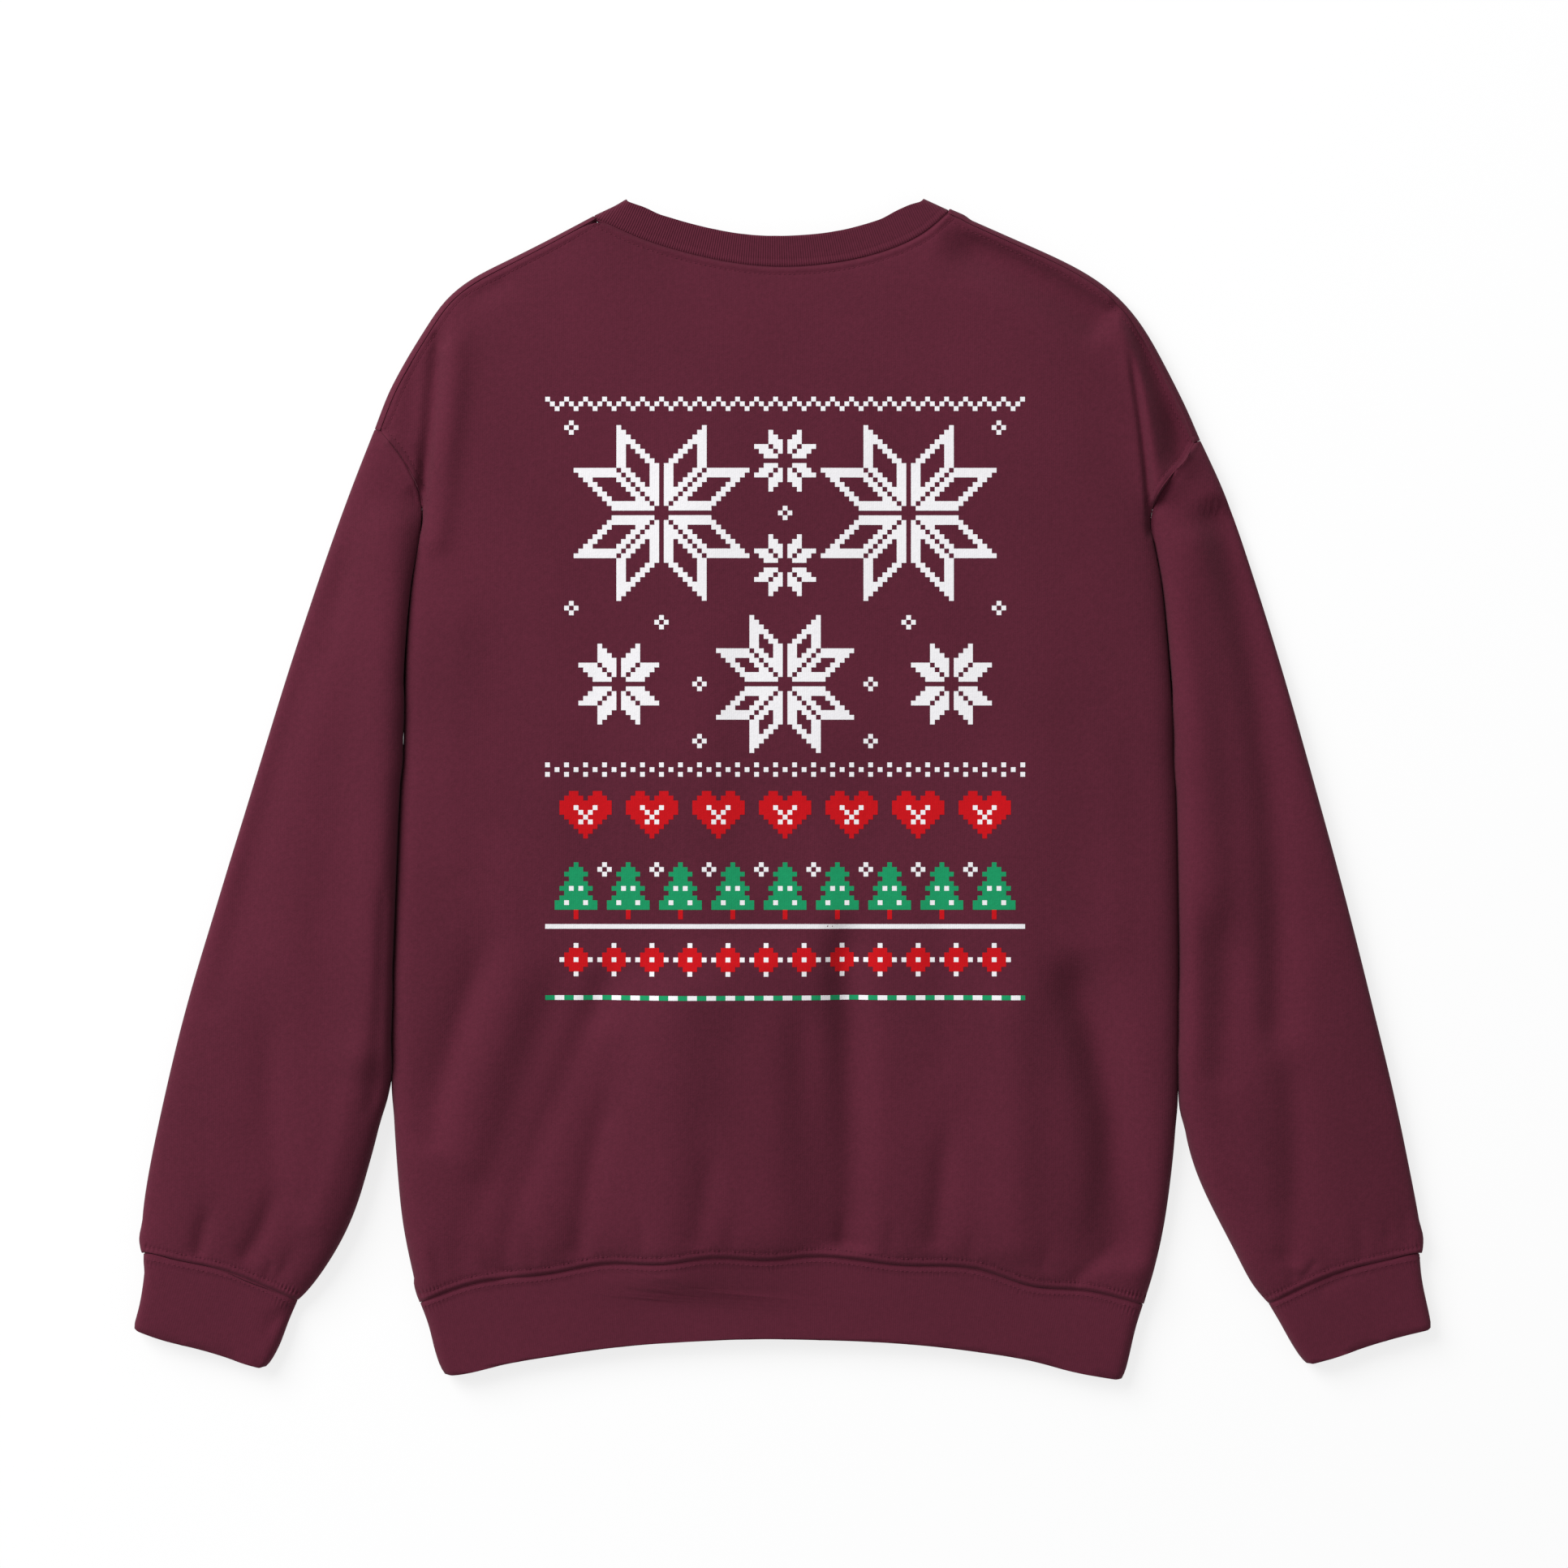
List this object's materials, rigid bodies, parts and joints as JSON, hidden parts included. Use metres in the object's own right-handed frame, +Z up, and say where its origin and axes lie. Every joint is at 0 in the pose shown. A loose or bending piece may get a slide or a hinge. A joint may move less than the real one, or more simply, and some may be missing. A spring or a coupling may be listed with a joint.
{
  "type": "crewneck sweatshirt laid flat",
  "caption": "Oversized crewneck fleece sweatshirt with a printed back, lying flat on its front, with rib cuffs, waistband and neckband.",
  "frame": {"origin": "on the surface that the garment lies on, under the middle of its bounding box", "axes": "+X across the garment from the wearer's left sleeve to the right sleeve, +Y from the hem to the collar, +Z up out of the back panel"},
  "size_m": [0.8444, 0.7675, 0.0235],
  "materials": {
    "fleece": "matt fleece knit",
    "rib": "matt 1x1 rib knit",
    "print": "matt ink printed on the fleece"
  },
  "bodies": {
    "root": {"back_panel": "fleece", "front_panel": "fleece", "left_sleeve": "fleece", "right_sleeve": "fleece", "left_cuff": "rib", "right_cuff": "rib", "waistband": "rib", "neckband": "rib"}
  },
  "joints": []
}
